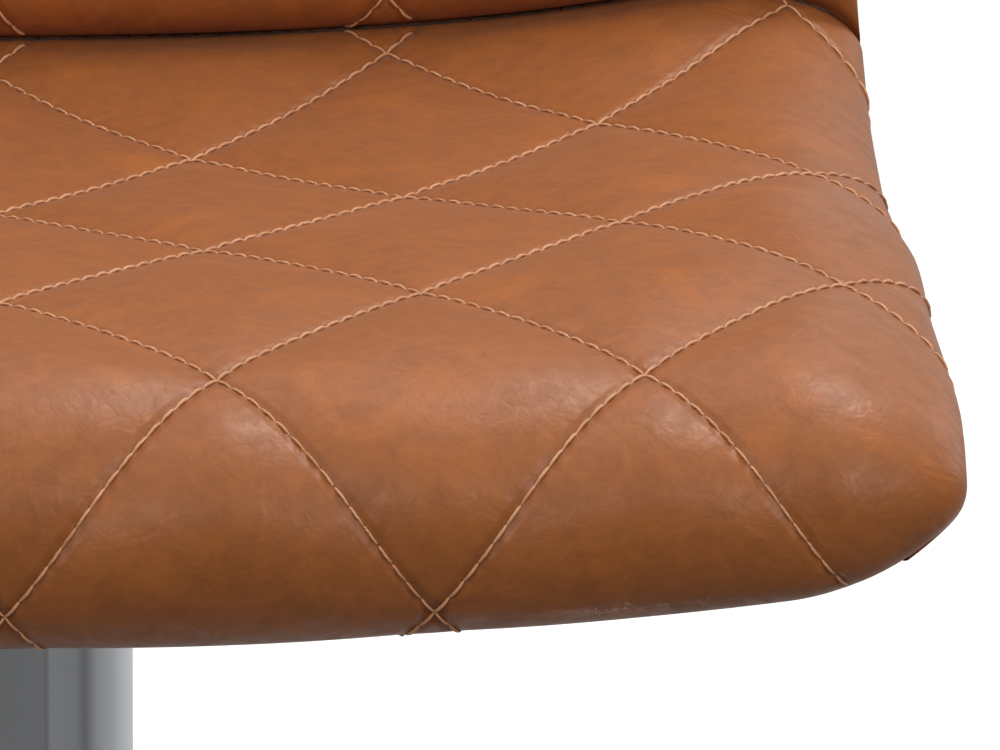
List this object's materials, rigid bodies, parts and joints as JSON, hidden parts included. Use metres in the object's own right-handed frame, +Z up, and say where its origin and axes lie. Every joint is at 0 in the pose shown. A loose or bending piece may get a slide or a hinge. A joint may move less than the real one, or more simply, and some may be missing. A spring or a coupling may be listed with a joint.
{
  "type": "gas-lift bar stool",
  "caption": "Gas-lift bar stool with a diamond-quilted leather seat and back, chrome column, footrest loop and round trumpet base.",
  "frame": {"origin": "on the floor, on the column's axis", "axes": "+Z up along the column, the seat faces -Y, +X to the right of a viewer in front of it"},
  "size_m": [0.444, 0.4785, 0.9013],
  "materials": {
    "leather": "quilted cognac leather, semi-matt",
    "rear_leather": "plain cognac leather, semi-matt",
    "foam": "open-cell upholstery foam",
    "plywood": "moulded beech plywood",
    "dust_cloth": "black non-woven cloth",
    "chrome": "polished",
    "black_steel": "black powder coat",
    "zinc_steel": "zinc plated",
    "ground_steel": "ground",
    "cast_weight": "black primer",
    "black_plastic": "fine moulded texture",
    "white_plastic": "natural nylon",
    "rubber": "matt",
    "brass": "turned"
  },
  "bodies": {
    "root": {"floor_pad": "rubber", "floor_ring": "rubber", "base_weight": "cast_weight", "base_hub": "black_steel", "hub_screws": "zinc_steel", "base_cover": "chrome", "column_tube": "chrome", "column_collar": "chrome", "guide_bush": "white_plastic", "bearing_lower_race": "ground_steel", "footrest_loop": "chrome", "footrest_clamp_front": "chrome", "footrest_clamp_rear": "chrome", "clamp_liner": "black_plastic", "footrest_screws": "zinc_steel"},
    "bearing_cage": {"ball_cage": "brass", "bearing_balls": "ground_steel"},
    "lift_rod": {"piston_rod": "ground_steel", "piston": "zinc_steel", "piston_ring": "rubber", "bearing_upper_race": "ground_steel", "rod_washer": "zinc_steel", "rod_clip": "zinc_steel", "rubber_buffer": "rubber"},
    "seat": {"pressure_tube": "black_steel", "gland": "brass", "valve_body": "brass", "cover_tube": "chrome", "cover_cap": "black_plastic", "sleeve_glide": "black_plastic", "seat_plate": "black_steel", "taper_socket": "black_steel", "plate_bolts": "zinc_steel", "plate_washers": "zinc_steel", "tee_nuts": "zinc_steel", "lever_pin": "zinc_steel", "seat_cover": "leather", "back_cover": "leather", "back_panel": "rear_leather", "seat_foam": "foam", "back_foam": "foam", "seat_shell": "plywood", "dust_cover": "dust_cloth"},
    "lever": {"lever_rod": "black_steel", "lever_grip": "black_plastic"},
    "valve_pin": {"release_pin": "ground_steel"}
  },
  "joints": [
    {"name": "swivel", "type": "hinge", "parent": "root", "child": "lift_rod", "pos_m": [0, 0, 0.0483], "axis": [0, 0, 1], "continuous": true},
    {"name": "lift", "type": "slide", "parent": "lift_rod", "child": "seat", "axis": [0, 0, 1], "range_m": [0, 0.2]},
    {"name": "bearing_turn", "type": "hinge", "parent": "root", "child": "bearing_cage", "pos_m": [0, 0, 0.0483], "axis": [0, 0, 1], "continuous": true},
    {"name": "lever_pull", "type": "hinge", "parent": "seat", "child": "lever", "pos_m": [-0.038, 0, 0.549], "axis": [0, 1, 0], "range_deg": [0, 6], "stiffness_Nm_per_rad": 1.2},
    {"name": "valve_press", "type": "slide", "parent": "seat", "child": "valve_pin", "axis": [0, 0, 1], "range_m": [-0.0042, 0]}
  ],
  "couplings": [
    {"joint": "bearing_turn", "follows": "swivel", "ratio": 0.5},
    {"joint": "valve_press", "follows": "lever_pull", "m_per_rad": -0.038}
  ]
}
